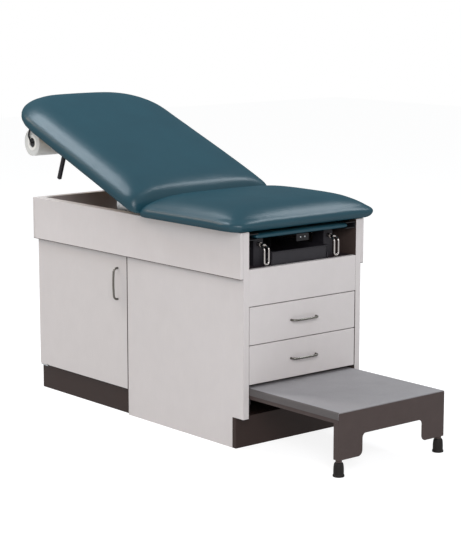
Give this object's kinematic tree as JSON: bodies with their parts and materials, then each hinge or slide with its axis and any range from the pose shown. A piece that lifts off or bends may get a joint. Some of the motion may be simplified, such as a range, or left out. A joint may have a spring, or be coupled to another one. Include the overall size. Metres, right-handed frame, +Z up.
{
  "type": "examination table",
  "caption": "Cabinet examination table with a tilting upholstered backrest, slide-out leg rest, stirrups, pan, drawers, side door, paper roll and pull-out step.",
  "frame": {"origin": "on the floor under the middle of the overall length, with the step out and the backrest raised", "axes": "+X towards the foot end, +Y away from the door side, +Z up"},
  "size_m": [1.8706, 0.686, 1.1579],
  "materials": {
    "grey_laminate": "satin laminate on particle board",
    "brown_board": "dark brown melamine board",
    "black_board": "black melamine board",
    "drawer_board": "pale melamine drawer sides",
    "plywood": "raw plywood",
    "teal_vinyl": "semi-gloss vinyl cover over foam",
    "nickel": "dark satin nickel plate",
    "zinc_steel": "zinc-plated sheet steel",
    "black_steel": "satin black paint",
    "chrome": "bright chrome plate",
    "black_plastic": "moulded plastic, fine grain",
    "brown_steel": "brown-grey powder coat",
    "tread_rubber": "grey ribbed rubber matting",
    "tip_rubber": "moulded black rubber",
    "paper": "crepe examination paper",
    "card_core": "pale card tube"
  },
  "bodies": {
    "cabinet": {"door_side_panel": "grey_laminate", "plain_side_panel": "grey_laminate", "head_panel": "grey_laminate", "apron_door_side": "grey_laminate", "apron_plain_side": "grey_laminate", "apron_head_end": "grey_laminate", "partition": "brown_board", "base_panel": "brown_board", "toe_kick_front": "brown_board", "toe_kick_door_side": "brown_board", "well_floor": "brown_board", "front_fascia": "grey_laminate", "compartment_floor": "black_board", "cross_rail": "brown_board", "seat_board": "plywood", "seat_pad": "teal_vinyl", "hinge_brackets": "zinc_steel", "drawer_slide_channels": "zinc_steel", "leg_rest_rails": "black_steel", "pan_guides": "black_plastic", "stirrup_blocks": "black_plastic", "step_rails": "black_steel", "strut_anchor": "black_steel", "door_pivot_bracket": "zinc_steel", "door_catch": "black_plastic"},
    "door": {"door_panel": "grey_laminate", "door_pull": "nickel", "door_pivot_pins": "zinc_steel"},
    "upper_drawer": {"upper_drawer_front": "grey_laminate", "upper_drawer_box": "drawer_board", "upper_drawer_pull": "nickel", "upper_drawer_runners": "zinc_steel"},
    "lower_drawer": {"lower_drawer_front": "grey_laminate", "lower_drawer_box": "drawer_board", "lower_drawer_pull": "nickel", "lower_drawer_runners": "zinc_steel"},
    "step": {"step_front_plate": "brown_steel", "step_tray": "brown_steel", "step_tread_mat": "tread_rubber", "step_leg_tubes": "brown_steel", "step_rubber_tips": "tip_rubber", "step_glides": "black_plastic"},
    "leg_rest": {"leg_rest_panel": "teal_vinyl", "leg_rest_tab": "black_plastic"},
    "pan": {"treatment_pan": "black_plastic"},
    "left_arm": {"left_stirrup_arm": "chrome"},
    "left_loop": {"left_heel_loop": "chrome"},
    "right_arm": {"right_stirrup_arm": "chrome"},
    "right_loop": {"right_heel_loop": "chrome"},
    "backrest": {"backrest_board": "plywood", "backrest_pad": "teal_vinyl", "hinge_arms": "zinc_steel", "lift_shaft": "zinc_steel", "paper_holder": "black_steel", "lever_bracket": "black_steel"},
    "paper": {"paper_roll": "paper", "paper_core": "card_core"},
    "lever": {"release_lever": "black_plastic"},
    "strut_tube": {"strut_cylinder": "black_steel"},
    "strut_piston": {"strut_rod": "chrome"}
  },
  "joints": [
    {"name": "door_swing", "type": "hinge", "parent": "cabinet", "child": "door", "pos_m": [-0.7685, -0.266, 0.3505], "axis": [0, 0, -1], "range_deg": [0, 95]},
    {"name": "upper_drawer_slide", "type": "slide", "parent": "cabinet", "child": "upper_drawer", "axis": [1, 0, 0], "range_m": [0, 0.38]},
    {"name": "lower_drawer_slide", "type": "slide", "parent": "cabinet", "child": "lower_drawer", "axis": [1, 0, 0], "range_m": [0, 0.38]},
    {"name": "step_slide", "type": "slide", "parent": "cabinet", "child": "step", "axis": [1, 0, 0], "range_m": [-0.443, 0]},
    {"name": "leg_rest_slide", "type": "slide", "parent": "cabinet", "child": "leg_rest", "axis": [1, 0, 0], "range_m": [0, 0.4]},
    {"name": "pan_slide", "type": "slide", "parent": "cabinet", "child": "pan", "axis": [1, 0, 0], "range_m": [0, 0.25]},
    {"name": "left_arm_slide", "type": "slide", "parent": "cabinet", "child": "left_arm", "axis": [1, 0, 0], "range_m": [0, 0.32]},
    {"name": "right_arm_slide", "type": "slide", "parent": "cabinet", "child": "right_arm", "axis": [1, 0, 0], "range_m": [0, 0.32]},
    {"name": "left_loop_fold", "type": "hinge", "parent": "left_arm", "child": "left_loop", "pos_m": [0.4485, 0.166, 0.712], "axis": [0, -1, 0], "range_deg": [0, 90]},
    {"name": "right_loop_fold", "type": "hinge", "parent": "right_arm", "child": "right_loop", "pos_m": [0.4485, -0.166, 0.712], "axis": [0, -1, 0], "range_deg": [0, 90]},
    {"name": "backrest_tilt", "type": "hinge", "parent": "cabinet", "child": "backrest", "pos_m": [-0.0705, 0, 0.765], "axis": [0, 1, 0], "range_deg": [-21.1, 38.9]},
    {"name": "strut_swing", "type": "hinge", "parent": "cabinet", "child": "strut_tube", "pos_m": [-0.05925, 0, 0.55029], "axis": [0, 1, 0], "range_deg": [-10.55, 19.45]},
    {"name": "piston_swing", "type": "hinge", "parent": "backrest", "child": "strut_piston", "pos_m": [-0.28519, 0, 0.77663], "axis": [0, 1, 0], "range_deg": [-19.45, 10.55]},
    {"name": "paper_spin", "type": "hinge", "parent": "backrest", "child": "paper", "pos_m": [-0.83044, 0, 0.97892], "axis": [0, 1, 0], "continuous": true},
    {"name": "lever_squeeze", "type": "hinge", "parent": "backrest", "child": "lever", "pos_m": [-0.63832, -0.238, 0.97124], "axis": [0, 1, 0], "range_deg": [0, 15], "stiffness_Nm_per_rad": 3, "springref_deg": -2.86}
  ],
  "couplings": [
    {"joint": "strut_swing", "follows": "backrest_tilt", "ratio": 0.5},
    {"joint": "piston_swing", "follows": "backrest_tilt", "ratio": -0.5}
  ]
}
